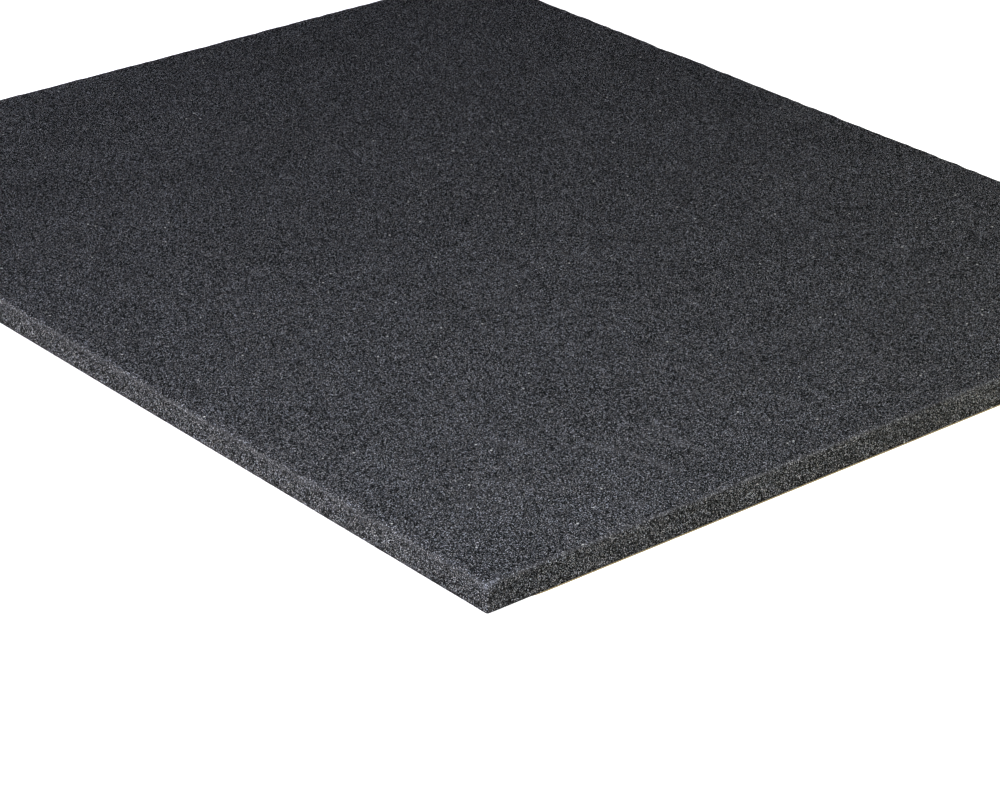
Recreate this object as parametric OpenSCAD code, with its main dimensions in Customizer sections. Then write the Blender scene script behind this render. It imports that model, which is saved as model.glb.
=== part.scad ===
// A thin square-cut foam balance pad: a charcoal foam slab bonded to a tan grip backing.
// Millimetres. The pad lies flat: +Z is up, X is its long side, Y its short side,
// and the origin is the middle of the face that it rests on.

/* [Pad] */
// Length of the pad, along X
pad_length = 500; // [200:5:1200]
// Width of the pad, along Y
pad_width = 410; // [150:5:900]
// Radius of the four upright corners, which a knife leaves nearly sharp
corner_radius = 1; // [0.5:0.1:30]

/* [Foam slab] */
// Thickness of the foam slab
foam_thickness = 11.5; // [5:0.5:80]
// Radius of the soft top edge
top_edge_radius = 1.5; // [0.5:0.1:2.4]

/* [Grip backing] */
// Thickness of the grip backing
backing_thickness = 0.5; // [0.3:0.1:4]
// How far the backing stops short of the foam's two long edges; at the ends it is cut flush
backing_setback = 1.5; // [0:0.1:10]
// Radius of the backing's corners, rounded so that they don't peel
backing_corner_radius = 25; // [1:0.5:60]

/* [Hidden] */
$fn = 48;

// Rectangle about the origin with round corners of radius r.
module rounded_rectangle(length, width, r) {
  square([length - 2 * r, width], center = true);
  square([length, width - 2 * r], center = true);
  for (x = [-1, 1]) {
    for (y = [-1, 1]) {
      translate([x * (length / 2 - r), y * (width / 2 - r)]) circle(r);
    }
  }
}

// Cross-section of a slab that stands on the first axis: square below, round top corners.
module soft_topped_section(width, height, r) {
  translate([-width / 2, 0]) square([width, height - r]);
  translate([-width / 2 + r, 0]) square([width - 2 * r, height]);
  for (x = [-1, 1]) {
    translate([x * (width / 2 - r), height - r]) circle(r);
  }
}

// A slab along X, long enough to pass both ends of the pad, with its two long top edges round.
module soft_edged_bar(length, width) {
  rotate([90, 0, 90])
    linear_extrude(height = length, center = true)
      soft_topped_section(width, foam_thickness, top_edge_radius);
}

module foam_slab() {
  past_the_end = 2 * top_edge_radius;
  color([0.26, 0.26, 0.28])
    translate([0, 0, backing_thickness])
      intersection() {
        linear_extrude(height = foam_thickness)
          rounded_rectangle(pad_length, pad_width, corner_radius);
        soft_edged_bar(pad_length + past_the_end, pad_width);
        rotate([0, 0, 90]) soft_edged_bar(pad_width + past_the_end, pad_length);
      }
}

module grip_backing() {
  backing_width = pad_width - 2 * backing_setback;
  color([0.72, 0.6, 0.4])
    linear_extrude(height = backing_thickness)
      rounded_rectangle(pad_length, backing_width, backing_corner_radius);
}

foam_slab();
grip_backing();
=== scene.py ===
import math

import bpy
import numpy as np
from mathutils import Matrix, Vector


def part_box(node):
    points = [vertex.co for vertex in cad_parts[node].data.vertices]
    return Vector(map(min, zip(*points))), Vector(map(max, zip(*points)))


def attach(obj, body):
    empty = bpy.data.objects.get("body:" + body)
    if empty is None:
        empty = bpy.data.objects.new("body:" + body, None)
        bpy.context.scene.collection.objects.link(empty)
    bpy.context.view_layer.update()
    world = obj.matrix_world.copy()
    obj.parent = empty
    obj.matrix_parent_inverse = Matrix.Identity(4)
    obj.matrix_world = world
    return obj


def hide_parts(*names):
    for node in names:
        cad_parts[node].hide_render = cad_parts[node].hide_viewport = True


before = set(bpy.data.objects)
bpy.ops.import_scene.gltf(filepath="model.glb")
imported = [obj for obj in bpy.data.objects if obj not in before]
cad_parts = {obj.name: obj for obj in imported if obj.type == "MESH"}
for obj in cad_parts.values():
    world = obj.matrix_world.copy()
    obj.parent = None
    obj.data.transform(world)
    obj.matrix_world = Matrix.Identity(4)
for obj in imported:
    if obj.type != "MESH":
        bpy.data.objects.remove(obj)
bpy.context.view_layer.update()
mm = 0.001
print("frame loaded")


def fromHex(code):
    # an sRGB hex colour as linear RGBA, by the standard two-part curve
    shown = np.array([int(code[i:i + 2], 16) for i in (1, 3, 5)]) / 255
    linear = np.where(shown <= 0.04045, shown / 12.92, ((shown + 0.055) / 1.055) ** 2.4)
    return (*linear.tolist(), 1.0)


def softWaves(points, wavelength, seed, count=16):
    # Smooth noise: sine waves that run in random directions, with lengths near the one asked
    # for and random starts, added up and scaled so that most values lie between -1 and 1.
    random = np.random.default_rng(seed)
    directions = random.normal(size=(count, points.shape[1]))
    directions /= np.linalg.norm(directions, axis=1, keepdims=True)
    lengths = wavelength * random.uniform(0.7, 1.6, count)
    starts = random.uniform(0, 2 * math.pi, count)
    phases = points @ (directions / lengths[:, None]).T * 2 * math.pi + starts
    return np.sin(phases).sum(axis=1) / math.sqrt(2 * count)


def smoothStep(low, high, value):
    # 0 below low, 1 above high, and 3t^2 - 2t^3 between them
    t = np.clip((value - low) / (high - low), 0, 1)
    return t * t * (3 - 2 * t)


# Low over the near corner, at about 26 degrees down, so that both cut sides show.
camera = {
    "lens": 119,
    "sensor": 36,
    "heading": 139.74,  # degrees anticlockwise from +X
    "pitch": 25.94,
    "roll": 0.45,
    "distance": 1.13,  # from the near corner, along the view
    "cornerRight": -0.0044,  # where the near corner lies from the view's middle
    "cornerUp": -0.0738,
}


def makeCamera():
    # looks along a heading and a pitch past the near corner, then rolls about that line
    low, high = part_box("foam_slab")
    corner = np.array([high.x, low.y, 0])
    heading, pitch, roll = (math.radians(camera[k]) for k in ("heading", "pitch", "roll"))
    forward = np.array([
        math.cos(heading) * math.cos(pitch), math.sin(heading) * math.cos(pitch), -math.sin(pitch)
    ])
    level = np.array([math.sin(heading), -math.cos(heading), 0])
    upright = np.cross(level, forward)
    right = math.cos(roll) * level + math.sin(roll) * upright
    up = math.cos(roll) * upright - math.sin(roll) * level
    place = (
        corner - camera["cornerRight"] * right - camera["cornerUp"] * up
        - camera["distance"] * forward
    )
    data = bpy.data.cameras.new("cornerCamera")
    data.lens, data.sensor_width = camera["lens"], camera["sensor"]
    data.clip_start, data.clip_end = 0.01, 50
    eye = bpy.data.objects.new("cornerCamera", data)
    turn = Matrix([right, up, -forward]).transposed().to_4x4()
    eye.matrix_world = Matrix.Translation(place.tolist()) @ turn
    bpy.context.scene.collection.objects.link(eye)
    bpy.context.scene.camera = eye


makeCamera()
print("camera set")


# A knife-cut slab: straight below, sides a little hollow, top edge soft and unevenly worn.
# All lengths are in mm.
foam = {
    "columnStep": 0.92,  # between columns round the sides
    "cornerStep": 0.14,  # the first step from each upright corner
    "stepGrowth": 1.22,
    "cornerRadius": 0.9,
    "bottomRadius": 0.25,
    "bottomMiddle": 0.3,  # where the one row on that round lies, as a share of its radius
    "bottomInsets": (4, 0.8),  # the underside's outer rings
    "bottomGrid": (9, 10),  # how far in its grid starts, and the grid's step
    "rimRadius": 1.5,
    "rimSpread": 0.55,  # how far the worn radius strays from that
    "rimWaves": ((16, 0.7), (5, 0.6)),  # length of each wave, and how much it counts
    "rimRange": (0.6, 3.2),
    "cornerWear": (0.7, 5),  # how much rounder the rim is at a corner, and how far that reaches
    "sideShares": (0, 0.14, 0.3, 0.46, 0.6, 0.71, 0.8, 0.87, 0.93, 0.97, 1),  # rows up the side
    "rimRows": 6,
    "bow": 0.22,  # how hollow a cut side is at mid height
    "knife": 0.09,  # waviness of the cut
    "knifeWaves": ((22, 1, 0.35), (4.5, 0.7, 0.5)),  # the third number is how much height counts
    "knifeSink": 1.4,  # how far in the wavy cut lies, in knifes, so that it never stands proud
    "knifeStart": 0.3,  # the share of the side's height over which the waviness sets in
    "topInsets": (0.8, 2.2, 4.4),  # rings inside the rim
    "topGrid": (8.2, 2.05),
    "topWave": 0.08,  # slow rise and fall of the top
    "topWaveLength": 95,
    "rimDroop": 0.2,  # how far the worn edge sinks
    "droopReach": 4.5,
    "droopWaves": ((24, 0.9), (7, 0.5)),
    "droopLevel": 0.6,
    "droopRange": (0, 2),
    "longBand": (1.25, 0.65),  # the pale rim band's middle below the top and its half width; rubbed fibres and a painted highlight
    "shortBand": (0.35, 0.5),
    "bandWaves": ((30, 0.3), (9, 0.45)),  # it wanders up and down by mm, and changes in strength
    "bandLevel": 1.1,
    "bandRange": (0.3, 1.7),
    "bandEnd": (1, 2.4),  # how far in from the edge it fades out
    "cornerFray": (0.6, 1.1),  # strength and reach of the fraying down the upright corners
    "sideToneAndShadeEnd": (0.25, 0.95),  # how far in from the edge the sides' darker, warmer tone fades out: partly their own tone, partly painted shade and painted warm light
    "nickEnd": (4, 1),  # how far below the top a nick ends, and where it has its full depth
    # areas of the flat layout, each as its lowest corner and its size
    "topArea": ((0.004, 0.27), (0.992, 0.726)),
    "undersideArea": ((0.9, 0.01), (0.09, 0.2)),
    "stripArea": ((0.004, 0.008), (0.88, 0.056)),
    "stripPitch": 0.064,  # from each side's strip to the next
    "topShare": 0.8,  # faces above this share of the height belong to the top
    "fill": 1.0,
}
# Scuffs on the top: middle from the pad's middle, heading in degrees, length, width, depth, paleness
scuffs = [
    (197, -105.4, 33, 16, 2.8, 0.04, 1.0),
    (210.3, -100, 13, 17, 2.6, 0.04, 1.1),
    (223.3, -98.3, 1, 13, 2.6, 0.04, 1.3),
    (209.5, -79.8, -15, 14, 2.6, 0.04, 1.1),
    (219.8, -78.6, 32, 10, 2.6, 0.03, 1.0),
    (172.9, -129.7, 29, 17, 4.0, 0.05, 0.55),
    (236.3, -126.3, 22, 9, 6.0, 0.05, 0.45),
    (213.8, -24.9, 160, 13, 5.0, 0.05, 0.45),
    (78.4, -49.8, 37, 22, 3.2, 0.05, 0.5),
    (-5.4, -49.1, 39, 17, 4.0, 0.04, 0.4),
    (60, 120, 105, 60, 5.0, 0.05, 0.2),
    (-170, -90, 55, 46, 4.0, 0.05, 0.25),
    (-120, 140, 160, 50, 5.0, 0.05, 0.25),
]
# Nicks where the foam's corner was torn, their paleness torn fibres and partly a painted highlight:
# middle, heading, length, width, depth, paleness
nicks = [
    (248.8, -201.6, 104, 5.5, 1.3, 0.20, 0.75),
    (248.2, -204.8, 170, 2.2, 1.4, 0.25, 0.7),
    (246.2, -198.2, 100, 3.0, 1.2, 0.10, 0.3),
]


def streak(x, y, middleX, middleY, heading, length, width):
    # 1 on a line of that length and heading, falling off across it and past its ends as a bell curve
    turn = math.radians(heading)
    along = (x - middleX) * math.cos(turn) + (y - middleY) * math.sin(turn)
    across = (y - middleY) * math.cos(turn) - (x - middleX) * math.sin(turn)
    return np.exp(-(np.abs(along) / (length / 2)) ** 4 - (across / (width / 2)) ** 2)


def sideStops(length):
    # Distances along a side: steps grow from each corner up to the wide one
    steps = foam["cornerStep"] * foam["stepGrowth"] ** np.arange(60)
    wide = np.full(int(length / foam["columnStep"]) + 2, foam["columnStep"])
    steps = np.concatenate((steps[steps < foam["columnStep"]], wide))
    stops = np.concatenate(([0], np.cumsum(steps)))
    stops = stops[stops <= length / 2]
    half = stops * (length / 2 / stops[-1])
    return np.concatenate((half, length - half[-2::-1]))[:-1]


def loopShares(xStops, yStops):
    # Round a rectangle anticlockwise from its lowest corner, as shares of its half sides,
    # with a count that grows by 1 on each side
    xs, ys = 2 * xStops - 1, 2 * yStops - 1
    shares = np.concatenate([
        np.stack([xs, -np.ones_like(xs)], 1),
        np.stack([np.ones_like(ys), ys], 1),
        np.stack([-xs, np.ones_like(xs)], 1),
        np.stack([-np.ones_like(ys), -ys], 1),
    ])
    turns = np.concatenate([xStops, 1 + yStops, 2 + xStops, 3 + yStops])
    return shares, turns


def ring(shares, halves, inset, height, radius):
    # A rectangle with round corners, drawn in by inset: each point of the sharp rectangle moves
    # to the nearest point of the corner's arc
    reach = halves[None] - inset[:, None]
    sharp = shares * reach
    r = np.maximum(radius - inset, 1e-4)[:, None]
    inner = np.clip(sharp, -(reach - r), reach - r)
    out = sharp - inner
    out /= np.linalg.norm(out, axis=1, keepdims=True)
    return np.column_stack([inner + r * out, height])


def zipped(outer, outerTurns, inner, innerTurns):
    # Triangles between two loops of different counts: the edges of both, in order of their
    # middles, each joined to the other loop's point that has been reached
    def middles(turns):
        return (turns + np.append(turns[1:], 4)) / 2

    middle = np.concatenate([middles(outerTurns), middles(innerTurns)])
    isOuter = np.arange(len(middle)) < len(outer)
    isOuter = isOuter[np.argsort(middle, kind="stable")]
    o, i = np.cumsum(isOuter) - isOuter, np.cumsum(~isOuter) - ~isOuter
    here, there = outer[o % len(outer)], inner[i % len(inner)]
    nextHere, nextThere = outer[(o + 1) % len(outer)], inner[(i + 1) % len(inner)]
    return np.where(
        isOuter[:, None],
        np.stack([here, nextHere, there], 1),
        np.stack([here, nextThere, there], 1),
    )


def gridInside(halves, step, height, start):
    # A flat grid of points over a rectangle, its cells, and its border anticlockwise
    nx, ny = (int(round(2 * h / step)) for h in halves)
    xs, ys = np.linspace(-1, 1, nx + 1), np.linspace(-1, 1, ny + 1)
    gx, gy = np.meshgrid(xs * halves[0], ys * halves[1])
    points = np.column_stack([gx.ravel(), gy.ravel(), np.full(gx.size, height)])
    index = start + np.arange(gx.size).reshape(ny + 1, nx + 1)
    cells = np.stack([index[:-1, :-1], index[:-1, 1:], index[1:, 1:], index[1:, :-1]], -1)
    cells = cells.reshape(-1, 4)
    border = np.concatenate([index[0, :-1], index[:-1, -1], index[-1, :0:-1], index[:0:-1, 0]])
    turns = np.concatenate([
        np.arange(nx) / nx, 1 + np.arange(ny) / ny,
        2 + np.arange(nx) / nx, 3 + np.arange(ny) / ny,
    ])
    return points, cells, border, turns


def foamSurface():
    # Rings stacked from the underside, up the cut side and over the soft rim, closed above and
    # below by grids. Works in mm and returns points, quads, triangles, and what each point wears,
    # with the painted highlight and painted shade that it carries.
    low, high = (np.array(c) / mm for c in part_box("foam_slab"))
    halves = (high - low)[:2] / 2
    bottom, top = low[2], high[2]
    xStops, yStops = (sideStops(2 * h) / (2 * h) for h in halves)
    shares, turns = loopShares(xStops, yStops)
    count = len(shares)
    rim = np.column_stack([shares * halves, np.zeros(count)])
    extraWear, wearReach = foam["cornerWear"]
    nearCorner = np.exp(-(np.linalg.norm(halves - np.abs(rim[:, :2]), axis=1) / wearReach) ** 2)
    (slow, slowShare), (quick, quickShare) = foam["rimWaves"]
    radius = foam["rimRadius"] + foam["rimSpread"] * (
        slowShare * softWaves(rim, slow, 3) + quickShare * softWaves(rim, quick, 4)
    ) + extraWear * nearCorner
    radius = np.clip(radius, *foam["rimRange"])
    br = foam["bottomRadius"]
    ones = np.ones(count)
    rows = [(inset * ones, bottom * ones) for inset in (*foam["bottomInsets"], br)]
    rows.append((foam["bottomMiddle"] * br * ones, (bottom + foam["bottomMiddle"] * br) * ones))
    firstSideRow = len(rows) - 1
    wall = top - radius - bottom - br
    (slow, slowShare, slowHeight), (quick, quickShare, quickHeight) = foam["knifeWaves"]
    for share in foam["sideShares"]:
        z = bottom + br + share * wall
        place = np.column_stack([rim[:, :2], z])
        wave = foam["knife"] * (
            slowShare * softWaves(place * [1, 1, slowHeight], slow, 5)
            + quickShare * softWaves(place * [1, 1, quickHeight], quick, 6)
        )
        cut = foam["bow"] * math.sin(math.pi * share)
        cut = cut + (wave + foam["knife"] * foam["knifeSink"]) * smoothStep(0, foam["knifeStart"], share)
        rows.append((np.maximum(cut, 0), z))
    lastCut = rows[-1][0]
    for k in range(1, foam["rimRows"] + 1):
        angle = math.pi / 2 * k / foam["rimRows"]
        rows.append((
            lastCut * math.cos(angle) + radius * (1 - math.cos(angle)),
            top - radius * (1 - math.sin(angle)),
        ))
    for extra in foam["topInsets"]:
        rows.append((radius + extra, top * ones))
    rings = [ring(shares, halves, inset, z, foam["cornerRadius"]) for inset, z in rows]
    points = np.concatenate(rings)
    band = np.arange(len(points)).reshape(len(rows), count)
    after = np.roll(band, -1, axis=1)
    quads = np.stack([band[:-1], after[:-1], after[1:], band[1:]], -1).reshape(-1, 4)
    inset, step = foam["topGrid"]
    topPoints, topCells, topBorder, topTurns = gridInside(halves - inset, step, top, len(points))
    points = np.concatenate([points, topPoints])
    inset, step = foam["bottomGrid"]
    lowPoints, lowCells, lowBorder, lowTurns = gridInside(halves - inset, step, bottom, len(points))
    points = np.concatenate([points, lowPoints])
    triangles = np.concatenate([
        zipped(band[-1], turns, topBorder, topTurns),
        zipped(band[0], turns, lowBorder, lowTurns)[:, ::-1],
    ])
    sideFaces = len(quads)
    quads = np.concatenate([quads, topCells, lowCells[:, ::-1]])

    # Wear sinks the rim and the scuffs, more towards the top and never below the underside
    x, y, z = points.T
    edge = np.minimum(halves[0] - np.abs(x), halves[1] - np.abs(y))
    lift = smoothStep(bottom, top, z)
    flat = points * [1, 1, 0]
    sink = foam["topWave"] * (1 + softWaves(flat, foam["topWaveLength"], 7))
    nearRim = np.exp(-np.maximum(edge, 0) / foam["droopReach"])
    (slow, slowShare), (quick, quickShare) = foam["droopWaves"]
    uneven = (
        foam["droopLevel"] + slowShare * softWaves(flat, slow, 8) + quickShare * softWaves(flat, quick, 9)
    )
    sink += foam["rimDroop"] * nearRim * np.clip(uneven, *foam["droopRange"])
    pale = np.zeros(len(points))
    for (mx, my, heading, length, width, depth, paleness) in scuffs:
        mark = streak(x, y, mx, my, heading, length, width)
        sink += depth * mark
        pale = np.maximum(pale, paleness * mark)
    # the nicks' paleness is torn fibres and partly a painted highlight
    tornAndHighlight = np.zeros(len(points))
    nickLow, nickFull = foam["nickEnd"]
    for (mx, my, heading, length, width, depth, paleness) in nicks:
        mark = streak(x, y, mx, my, heading, length, width) * smoothStep(top - nickLow, top - nickFull, z)
        sink += depth * mark
        tornAndHighlight = np.maximum(tornAndHighlight, paleness * mark)
    points[:, 2] -= lift * np.maximum(sink, 0)
    # A pale band along each top edge: rubbed fibres and a painted highlight. It sits lower on the long
    # sides than on the short ones. It is weaker down the upright corners.
    onLongSide = halves[1] - np.abs(y) < halves[0] - np.abs(x)
    middle = np.where(onLongSide, foam["longBand"][0], foam["shortBand"][0])
    width = np.where(onLongSide, foam["longBand"][1], foam["shortBand"][1])
    (slow, wander), (quick, change) = foam["bandWaves"]
    frayAndHighlight = np.exp(-((top - z - middle + wander * softWaves(flat, slow, 11)) / width) ** 2)
    strength = np.clip(foam["bandLevel"] + change * softWaves(flat, quick, 10), *foam["bandRange"])
    frayAndHighlight *= strength * (1 - smoothStep(*foam["bandEnd"], edge))
    fromCorner = np.hypot(halves[0] - np.abs(x), halves[1] - np.abs(y))
    cornerShare, cornerReach = foam["cornerFray"]
    frayAndHighlight = np.maximum(frayAndHighlight, cornerShare * np.exp(-(fromCorner / cornerReach) ** 2))
    # painted shade and painted warm light on the cut sides, together with their own tone
    cutSideToneAndShade = 1 - smoothStep(*foam["sideToneAndShadeEnd"], edge)
    wearAndPaintedLight = {"rubbedAndHighlight": np.maximum(frayAndHighlight, pale), "tornAndHighlight": tornAndHighlight, "cutSideToneAndShade": cutSideToneAndShade}
    return points * mm, quads, triangles, wearAndPaintedLight, (count, firstSideRow, sideFaces, turns)


def chartFoam(mesh, points, quads, triangles, layout):
    # A flat layout: the top fills most of it, each cut side is a long strip below, and the
    # hidden underside gets a small patch
    count, firstSideRow, sideFaces, turns = layout
    low, high = (np.array(c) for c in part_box("foam_slab"))
    size = high - low
    flatQuad = (points[quads][..., :2] - low[:2]) / size[:2]
    flatTriangle = (points[triangles][..., :2] - low[:2]) / size[:2]
    topArea, patch, topFrom = foam["topArea"], foam["undersideArea"], low[2] + foam["topShare"] * size[2]

    def placed(shares, area):
        return np.array(area[0]) + shares * np.array(area[1])

    isTop = points[quads][..., 2].mean(axis=1) > topFrom
    isTopTriangle = points[triangles][..., 2].mean(axis=1) > topFrom
    uvQuad = np.where(isTop[:, None, None], placed(flatQuad, topArea), placed(flatQuad, patch))
    uvTriangle = np.where(
        isTopTriangle[:, None, None], placed(flatTriangle, topArea), placed(flatTriangle, patch)
    )
    # strips: the columns' count within their side goes across, the height goes up
    face = np.arange(sideFaces)
    row, column = face // count, face % count
    nextTurn = np.append(turns[1:], 4)
    side = np.floor(turns).astype(int)
    lastSideRow = firstSideRow + len(foam["sideShares"]) + foam["rimRows"] // 2
    onStrip = (row >= firstSideRow) & (row < lastSideRow)
    across = np.stack([turns[column], nextTurn[column], nextTurn[column], turns[column]], 1)
    across -= side[column][:, None]
    heights = (points[quads[:sideFaces]][..., 2] - low[2]) / size[2]
    (stripLeft, stripLow), (stripLong, stripHigh) = foam["stripArea"]
    strip = np.stack([
        stripLeft + across * stripLong,
        stripLow + foam["stripPitch"] * side[column][:, None] + heights * stripHigh,
    ], -1)
    uvQuad[:sideFaces][onStrip] = strip[onStrip]
    layer = mesh.uv_layers.new(name="OFBake")
    layer.data.foreach_set(
        "uv", np.concatenate([uvQuad.reshape(-1), uvTriangle.reshape(-1)]).astype(np.float32)
    )


def makeFoam():
    points, quads, triangles, wearAndPaintedLight, layout = foamSurface()
    mesh = bpy.data.meshes.new("foamSlab")
    mesh.from_pydata(points.tolist(), [], quads.tolist() + triangles.tolist())
    mesh.polygons.foreach_set("use_smooth", np.ones(len(mesh.polygons), bool))
    chartFoam(mesh, points, quads, triangles, layout)
    for name, values in wearAndPaintedLight.items():
        mesh.attributes.new(name, "FLOAT", "POINT").data.foreach_set("value", values.astype(np.float32))
    mesh.update()
    piece = bpy.data.objects.new("foamSlab", mesh)
    bpy.context.scene.collection.objects.link(piece)
    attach(piece, "root")
    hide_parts("foam_slab")
    print("foam slab:", 2 * len(quads) + len(triangles), "triangles")
    return piece


foamPiece = makeFoam()
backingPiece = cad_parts["grip_backing"]


def addNode(tree, kind, settings=None, inputs=None):
    # one node with its settings; each input takes either a value or another node's output
    node = tree.nodes.new(kind)
    for name, value in (settings or {}).items():
        setattr(node, name, value)
    for name, value in (inputs or {}).items():
        if isinstance(value, bpy.types.NodeSocket):
            tree.links.new(value, node.inputs[name])
        else:
            node.inputs[name].default_value = value
    return node


def newMaterial(name):
    material = bpy.data.materials.new(name)
    material.use_nodes = True
    material.node_tree.nodes.clear()
    return material, material.node_tree


# Charcoal open-cell polyurethane foam, cut with a knife: fine struts round dark pores. Most pores
# are open and black, a few keep a pale skin, and a few struts carry a painted glint. The edge is
# rubbed pale with a painted highlight, and the cut sides are darker and warmer than the top, partly
# their own tone and partly painted shade and painted warm light.
foamLook = {
    "deep": "#020202",
    "skin": "#d2cecb",
    "coolSkin": "#c5cee0",
    "strut": "#5a5a5c",
    # colour of the painted glints, highlights painted onto a few cells
    "paintedGlint": "#c4c8d2",
    # the rim band's colour: rubbed fibres and a painted highlight
    "frayAndHighlight": "#76777b",
    # the nicks' colour: torn fibres and partly a painted highlight
    "tornAndHighlight": "#a6aab6",
    "sideToneAndShade": "#e5e3de",  # what the cut sides are multiplied by: partly their own tone, partly painted shade and painted warm light
    # colour of the flecks: fluff and painted glints
    "fleckAndPaintedGlint": "#c9cac6",
    "cell": 0.24,  # mm across a cell
    "strutWidth": (0.03, 0.15),  # in cells, from a wall's middle to where it ends
    "strutShare": 0.1,  # how much the struts show over the pores
    "skinPower": 12,  # the share of cells without a painted glint
    "paintedGlintLimits": (0.985, 0.998),  # the share of cells that don't glint
    "rubbedAndHighlightShare": 0.55,
    "fibrePower": 2.0,  # the higher, the fewer cells carry loose fibres
    "fleckCell": 1.8,  # mm, the grid in which about one place in 100 holds a fleck of fluff and painted glint
    "fleckWidth": (0.16, 0.32),  # in that grid's cells
    "fleckShare": 0.85,
    "flecks": (0.99, 0.9905),  # the share of places without a fleck
    "mottle": 38,  # mm, slow change of the dye's tone
    "mottleDetail": 3.0,
    "mottleNoise": (0.3, 0.7),  # the noise values that give the two tones below
    "mottleTones": (0.92, 1.08),
    "pit": 0.25,  # mm, how deep the pores are
    "pitShare": 0.8,
    "rough": (1.0, 0.72),  # in a pore and on a skin
    "ior": 1.5,
    "gloss": 0.02,  # next to none, for the pores trap the light
}


def foamMaterial():
    material, tree = newMaterial("charcoalCutFoam")
    look = foamLook
    coordinates = addNode(tree, "ShaderNodeTexCoord").outputs["Object"]
    perCell = 1 / (look["cell"] * mm)
    cells = addNode(tree, "ShaderNodeTexVoronoi", inputs={"Vector": coordinates, "Scale": perCell})
    walls = addNode(
        tree, "ShaderNodeTexVoronoi", {"feature": "DISTANCE_TO_EDGE"},
        {"Vector": coordinates, "Scale": perCell},
    )
    lot = addNode(tree, "ShaderNodeSeparateColor", inputs={"Color": cells.outputs["Color"]}).outputs
    strut = addNode(
        tree, "ShaderNodeMapRange", {"interpolation_type": "SMOOTHSTEP"},
        {
            "Value": walls.outputs["Distance"], "From Min": look["strutWidth"][0],
            "From Max": look["strutWidth"][1], "To Min": 1.0, "To Max": 0.0,
        },
    ).outputs["Result"]

    # a high power of each cell's own random number: most pores are open, and few are closed
    closed = addNode(
        tree, "ShaderNodeMath", {"operation": "POWER"}, {0: lot["Red"], 1: look["skinPower"]}
    ).outputs[0]
    skin = addNode(
        tree, "ShaderNodeMix", {"data_type": "RGBA"},
        {"Factor": lot["Blue"], "A": fromHex(look["skin"]), "B": fromHex(look["coolSkin"])},
    ).outputs["Result"]
    pore = addNode(
        tree, "ShaderNodeMix", {"data_type": "RGBA"},
        {"Factor": closed, "A": fromHex(look["deep"]), "B": skin},
    ).outputs["Result"]
    strutShare = addNode(
        tree, "ShaderNodeMath", {"operation": "MULTIPLY"}, {0: strut, 1: look["strutShare"]}
    ).outputs[0]
    tone = addNode(
        tree, "ShaderNodeMix", {"data_type": "RGBA"},
        {"Factor": strutShare, "A": pore, "B": fromHex(look["strut"])},
    ).outputs["Result"]
    height = addNode(tree, "ShaderNodeMath", {"operation": "MAXIMUM"}, {0: closed, 1: strut}).outputs[0]

    # painted highlight: the few cells with a painted glint get it on what stands high
    paintedGlintCells = addNode(
        tree, "ShaderNodeMapRange",
        inputs={"Value": lot["Green"], "From Min": look["paintedGlintLimits"][0], "From Max": look["paintedGlintLimits"][1]},
    ).outputs["Result"]
    paintedGlint = addNode(tree, "ShaderNodeMath", {"operation": "MULTIPLY"}, {0: paintedGlintCells, 1: height}).outputs[0]
    tone = addNode(
        tree, "ShaderNodeMix", {"data_type": "RGBA"},
        {"Factor": paintedGlint, "A": tone, "B": fromHex(look["paintedGlint"])},
    ).outputs["Result"]

    # loose fibres where the rim and the top are rubbed, with a painted highlight along the rim, and where
    # the corner is torn, also partly a painted highlight
    fibres = addNode(
        tree, "ShaderNodeMath", {"operation": "POWER"}, {0: lot["Green"], 1: look["fibrePower"]}
    ).outputs[0]
    for wearAndPaintedLight, share, colour in (("rubbedAndHighlight", look["rubbedAndHighlightShare"], "frayAndHighlight"), ("tornAndHighlight", 1.0, "tornAndHighlight")):
        where = addNode(tree, "ShaderNodeAttribute", {"attribute_name": wearAndPaintedLight}).outputs["Fac"]
        worn = addNode(tree, "ShaderNodeMath", {"operation": "MULTIPLY"}, {0: where, 1: fibres}).outputs[0]
        worn = addNode(tree, "ShaderNodeMath", {"operation": "MULTIPLY"}, {0: worn, 1: share}).outputs[0]
        tone = addNode(
            tree, "ShaderNodeMix", {"data_type": "RGBA"},
            {"Factor": worn, "A": tone, "B": fromHex(look[colour])},
        ).outputs["Result"]

    # a few pale flecks, fluff and painted glints, round spots in chosen cells of a wider grid
    grid = addNode(
        tree, "ShaderNodeTexVoronoi", inputs={"Vector": coordinates, "Scale": 1 / (look["fleckCell"] * mm)}
    ).outputs
    spot = addNode(
        tree, "ShaderNodeMapRange", {"interpolation_type": "SMOOTHSTEP"},
        {
            "Value": grid["Distance"], "From Min": look["fleckWidth"][0],
            "From Max": look["fleckWidth"][1], "To Min": look["fleckShare"], "To Max": 0.0,
        },
    ).outputs["Result"]
    chance = addNode(tree, "ShaderNodeSeparateColor", inputs={"Color": grid["Color"]}).outputs["Red"]
    chosen = addNode(
        tree, "ShaderNodeMapRange",
        inputs={"Value": chance, "From Min": look["flecks"][0], "From Max": look["flecks"][1]},
    ).outputs["Result"]
    fleckAndPaintedGlint = addNode(tree, "ShaderNodeMath", {"operation": "MULTIPLY"}, {0: spot, 1: chosen}).outputs[0]
    tone = addNode(
        tree, "ShaderNodeMix", {"data_type": "RGBA"},
        {"Factor": fleckAndPaintedGlint, "A": tone, "B": fromHex(look["fleckAndPaintedGlint"])},
    ).outputs["Result"]

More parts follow.
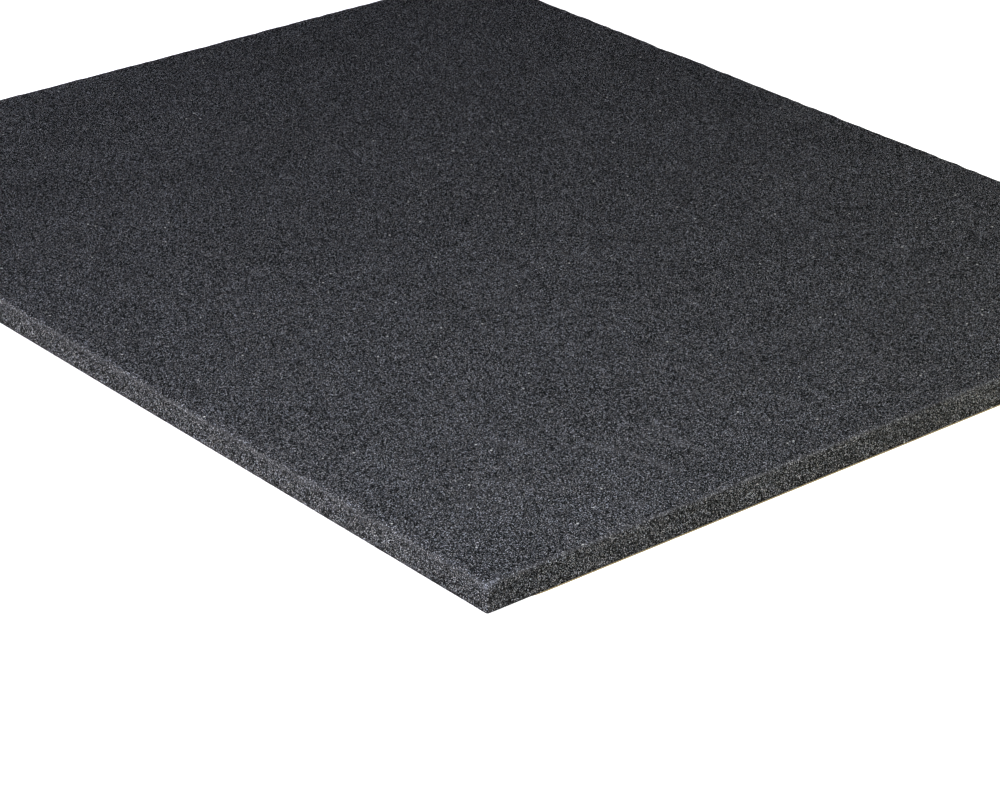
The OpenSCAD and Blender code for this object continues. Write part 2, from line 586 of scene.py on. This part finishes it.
    # the cut sides' darker, warmer tone, partly their own and partly painted shade and painted warm light,
    # and slow mottling of the dye
    onSideToneAndShade = addNode(tree, "ShaderNodeAttribute", {"attribute_name": "cutSideToneAndShade"}).outputs["Fac"]
    tone = addNode(
        tree, "ShaderNodeMix", {"data_type": "RGBA", "blend_type": "MULTIPLY"},
        {"Factor": onSideToneAndShade, "A": tone, "B": fromHex(look["sideToneAndShade"])},
    ).outputs["Result"]
    mottle = addNode(
        tree, "ShaderNodeTexNoise",
        inputs={
            "Vector": coordinates, "Scale": 1 / (look["mottle"] * mm), "Detail": look["mottleDetail"],
        },
    ).outputs["Fac"]
    shade = addNode(
        tree, "ShaderNodeMapRange",
        inputs={
            "Value": mottle, "From Min": look["mottleNoise"][0], "From Max": look["mottleNoise"][1],
            "To Min": look["mottleTones"][0], "To Max": look["mottleTones"][1],
        },
    ).outputs["Result"]
    tone = addNode(
        tree, "ShaderNodeVectorMath", {"operation": "SCALE"}, {"Vector": tone, "Scale": shade}
    ).outputs["Vector"]

    bump = addNode(
        tree, "ShaderNodeBump",
        inputs={"Height": height, "Strength": look["pitShare"], "Distance": look["pit"] * mm},
    ).outputs["Normal"]
    rough = addNode(
        tree, "ShaderNodeMapRange",
        inputs={"Value": height, "To Min": look["rough"][0], "To Max": look["rough"][1]},
    ).outputs["Result"]
    surface = addNode(
        tree, "ShaderNodeBsdfPrincipled",
        inputs={
            "Base Color": tone, "Roughness": rough, "Normal": bump,
            "IOR": look["ior"], "Specular IOR Level": look["gloss"],
        },
    ).outputs["BSDF"]
    addNode(tree, "ShaderNodeOutputMaterial", inputs={"Surface": surface})
    return material


# Natural-latex grip film, coated on a fine scrim: dull tan and slightly tacky, with the scrim's
# weave showing through as a faint grid, drawn coarser than a real scrim's 1 mm so that it shows.
filmLook = {
    "tan": "#867854",
    "deep": "#6e623f",
    "thread": 3.0,  # mm from thread to thread
    "threadWaver": 0.4,
    "weaveShare": 0.35,  # how much the weave changes the tone
    "cloud": 24,  # mm, slow change of tone
    "cloudDetail": 4.0,
    "rough": (0.5, 0.68),
    "relief": 0.12,  # mm
    "reliefShare": 0.7,
    "ior": 1.52,
}


def filmMaterial():
    material, tree = newMaterial("tanLatexFilm")
    look = filmLook
    coordinates = addNode(tree, "ShaderNodeTexCoord").outputs["Object"]
    bandPitch = 0.314  # a wave texture's bands lie that share of its unit apart
    waves = [
        addNode(
            tree, "ShaderNodeTexWave", {"bands_direction": way},
            {
                "Vector": coordinates, "Scale": bandPitch / (look["thread"] * mm),
                "Distortion": look["threadWaver"],
            },
        ).outputs["Fac"]
        for way in ("X", "Y")
    ]
    weave = addNode(
        tree, "ShaderNodeMath", {"operation": "MULTIPLY"}, {0: waves[0], 1: waves[1]}
    ).outputs[0]
    cloud = addNode(
        tree, "ShaderNodeTexNoise",
        inputs={
            "Vector": coordinates, "Scale": 1 / (look["cloud"] * mm), "Detail": look["cloudDetail"],
        },
    ).outputs["Fac"]
    mixed = addNode(
        tree, "ShaderNodeMath", {"operation": "MULTIPLY_ADD", "use_clamp": True},
        {0: weave, 1: look["weaveShare"], 2: cloud},
    ).outputs[0]
    colour = addNode(
        tree, "ShaderNodeMix", {"data_type": "RGBA"},
        {"Factor": mixed, "A": fromHex(look["deep"]), "B": fromHex(look["tan"])},
    ).outputs["Result"]
    rough = addNode(
        tree, "ShaderNodeMapRange",
        inputs={"Value": cloud, "To Min": look["rough"][0], "To Max": look["rough"][1]},
    ).outputs["Result"]
    bump = addNode(
        tree, "ShaderNodeBump",
        inputs={
            "Height": weave, "Strength": look["reliefShare"], "Distance": look["relief"] * mm,
        },
    ).outputs["Normal"]
    surface = addNode(
        tree, "ShaderNodeBsdfPrincipled",
        inputs={"Base Color": colour, "Roughness": rough, "Normal": bump, "IOR": look["ior"]},
    ).outputs["BSDF"]
    addNode(tree, "ShaderNodeOutputMaterial", inputs={"Surface": surface})
    return material


def paperMaterial():
    # seamless white paper on a lit table: matt, with a little light from below
    material, tree = newMaterial("seamlessPaper")
    surface = addNode(
        tree, "ShaderNodeBsdfPrincipled",
        inputs={
            "Base Color": studio["paper"], "Roughness": studio["paperRough"],
            "Specular IOR Level": studio["paperGloss"],
            "Emission Color": studio["glow"], "Emission Strength": studio["tableGlow"],
        },
    ).outputs["BSDF"]
    addNode(tree, "ShaderNodeOutputMaterial", inputs={"Surface": surface})
    return material


foamPiece.data.materials.append(foamMaterial())
backingPiece.data.materials.clear()
backingPiece.data.materials.append(filmMaterial())
print("materials made")


# Lights over a lit white table: the key is low in front of the long side, the near one is small
# and close over the corner, and the fill is low beyond the short side.
studio = {
    "sky": 0.3,
    "skyTint": (0.99, 1.0, 1.2, 1.0),
    "paper": (0.9, 0.9, 0.9, 1),
    "paperRough": 0.9,
    "paperGloss": 0.1,
    "glow": (1, 1, 1, 1),
    "tableGlow": 0.75,
    "floorSize": 14,
    "key": {
        "place": (-0.06, -0.95, 0.21), "aim": (0.0, -0.2, 0.0), "size": (1.3, 0.3),
        "power": 16.3, "tint": (1.0, 0.985, 1.05),
    },
    "near": {
        "place": (0.33, -0.3, 0.3), "aim": (0.22, -0.17, 0.0), "size": (0.3, 0.3),
        "power": 1.6, "tint": (0.95, 0.98, 1.06),
    },
    "fill": {
        "place": (0.66, 0.38, 0.22), "aim": (0.22, 0.07, 0.0), "size": (0.5, 0.3),
        "power": 4.0, "tint": (1.04, 1.0, 0.74),
    },
}


def makeLight(name, place, aim, size, power, tint):
    # a flat light at place, turned to face aim, that the camera doesn't see
    data = bpy.data.lights.new(name, "AREA")
    data.shape, data.size, data.size_y = "RECTANGLE", *size
    data.energy, data.color = power, tint
    lamp = bpy.data.objects.new(name, data)
    forward = np.array(aim) - np.array(place)
    forward /= np.linalg.norm(forward)
    right = np.cross(forward, [0, 0, 1])
    right /= np.linalg.norm(right)
    turn = Matrix([right, np.cross(right, forward), -forward]).transposed().to_4x4()
    lamp.matrix_world = Matrix.Translation(place) @ turn
    lamp.visible_camera = False
    bpy.context.scene.collection.objects.link(lamp)


def makeStudio():
    half = studio["floorSize"] / 2
    mesh = bpy.data.meshes.new("paperFloor")
    corners = [(-half, -half, 0), (half, -half, 0), (half, half, 0), (-half, half, 0)]
    mesh.from_pydata(corners, [], [(0, 1, 2, 3)])
    mesh.materials.append(paperMaterial())
    floor = bpy.data.objects.new("paperFloor", mesh)
    bpy.context.scene.collection.objects.link(floor)
    world = bpy.data.worlds.new("softSky")
    world.use_nodes = True
    sky = world.node_tree.nodes["Background"]
    sky.inputs["Color"].default_value = studio["skyTint"]
    sky.inputs["Strength"].default_value = studio["sky"]
    bpy.context.scene.world = world
    for name in ("key", "near", "fill"):
        makeLight(name + "Light", **studio[name])
    bpy.context.scene.view_settings.view_transform = "Standard"


makeStudio()
print("studio lit")
